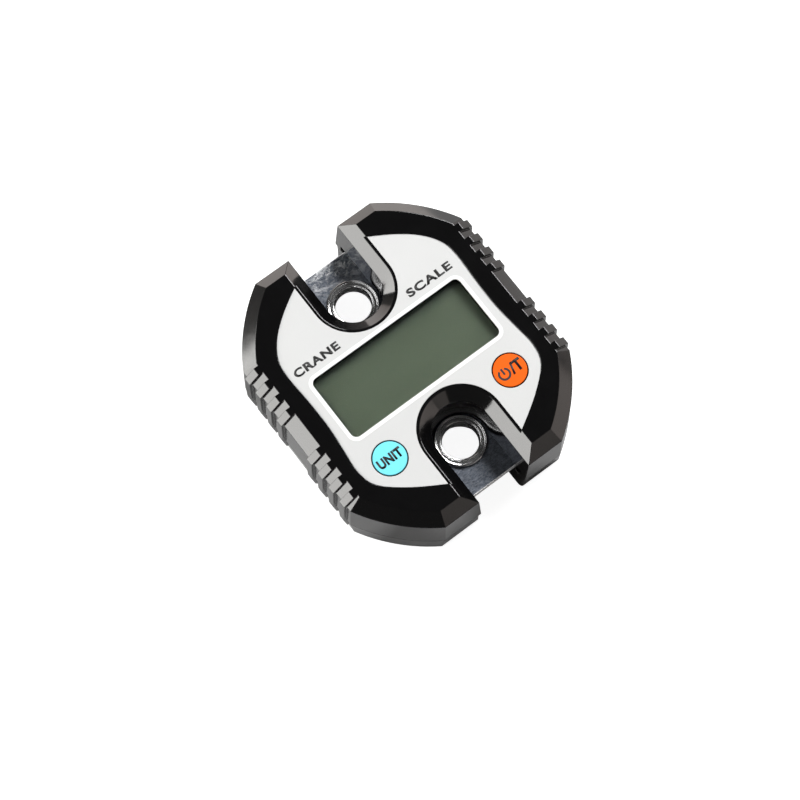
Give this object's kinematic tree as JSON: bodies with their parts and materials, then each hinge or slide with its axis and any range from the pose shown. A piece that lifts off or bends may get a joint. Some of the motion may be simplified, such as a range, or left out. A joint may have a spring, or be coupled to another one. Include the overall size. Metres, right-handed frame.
{
  "type": "crane scale",
  "caption": "Palm-size hanging crane scale: black two-part case with a notch at each end, a steel load plate with eyes, display and two keys.",
  "frame": {"origin": "centre of the bounding box at the back face, on which the scale lies", "axes": "+Z out of the display, +Y towards the top of the display and the upper eye, +X towards the power key"},
  "size_m": [0.0948, 0.1068, 0.031],
  "materials": {
    "case_black": "deep gloss black, moulded",
    "label_silver": "fine-grained silver-white print, satin",
    "window_clear": "clear, polished",
    "frame_white": "white, matt",
    "lcd_glass": "grey-green reflective display",
    "diffuser": "milky diffuser",
    "led_cream": "small moulded lamp",
    "zebra_pink": "layered connector strip",
    "board_green": "solder mask over glass laminate",
    "chip_black": "moulded package, matt",
    "can_nickel": "plated can",
    "cap_tan": "ceramic",
    "cap_blue": "sleeved can",
    "connector_cream": "moulded, cream",
    "wire_mixed": "insulated wire",
    "wire_red": "insulated wire, red",
    "wire_black": "insulated wire, black",
    "key_orange": "orange, satin",
    "key_cyan": "pale cyan, satin",
    "stem_black": "moulded stem",
    "plate_steel": "zinc-grey rolled steel",
    "ring_chrome": "polished",
    "gauge_copper": "foil gauge on film",
    "sealant_white": "silicone, white",
    "screw_steel": "zinc plated",
    "cell_jacket": "plain printed jacket",
    "contact_nickel": "nickel plated spring steel"
  },
  "bodies": {
    "housing": {"rear_shell": "case_black", "front_shell": "case_black", "front_label": "label_silver", "display_window": "window_clear", "lcd_frame": "frame_white", "lcd_panel": "lcd_glass", "backlight_panel": "diffuser", "backlight_leds": "led_cream", "zebra_strips": "zebra_pink", "main_board": "board_green", "main_chip": "chip_black", "converter_chip": "chip_black", "memory_chip": "chip_black", "crystal_can": "can_nickel", "ceramic_capacitors": "cap_tan", "chip_resistors": "chip_black", "bulk_capacitor": "cap_blue", "buzzer": "chip_black", "cell_connector": "connector_cream", "cell_leads": "wire_mixed", "switch_bodies": "stem_black", "load_plate": "plate_steel", "upper_eye_ring": "ring_chrome", "lower_eye_ring": "ring_chrome", "strain_gauges": "gauge_copper", "gauge_sealant": "sealant_white", "plate_screws": "screw_steel", "battery_cells": "cell_jacket", "battery_springs": "contact_nickel", "terminal_contacts": "contact_nickel", "battery_jumper": "contact_nickel", "battery_lead_red": "wire_red", "battery_lead_black": "wire_black", "case_screws": "screw_steel", "board_screws": "screw_steel"},
    "power_key": {"power_key": "key_orange", "power_switch_stem": "stem_black"},
    "unit_key": {"unit_key": "key_cyan", "unit_switch_stem": "stem_black"},
    "battery_door": {"battery_door": "case_black"}
  },
  "joints": [
    {"name": "power_key_press", "type": "slide", "parent": "housing", "child": "power_key", "axis": [0, 0, -1], "range_m": [0, 0.0004], "stiffness_N_per_m": 2500, "springref_m": -0.0001},
    {"name": "unit_key_press", "type": "slide", "parent": "housing", "child": "unit_key", "axis": [0, 0, -1], "range_m": [0, 0.0004], "stiffness_N_per_m": 2500, "springref_m": -0.0001},
    {"name": "battery_door_hinge", "type": "hinge", "parent": "housing", "child": "battery_door", "pos_m": [0.0269, 0.025, 0.00095], "axis": [1, 0, 0], "range_deg": [0, 90]}
  ]
}
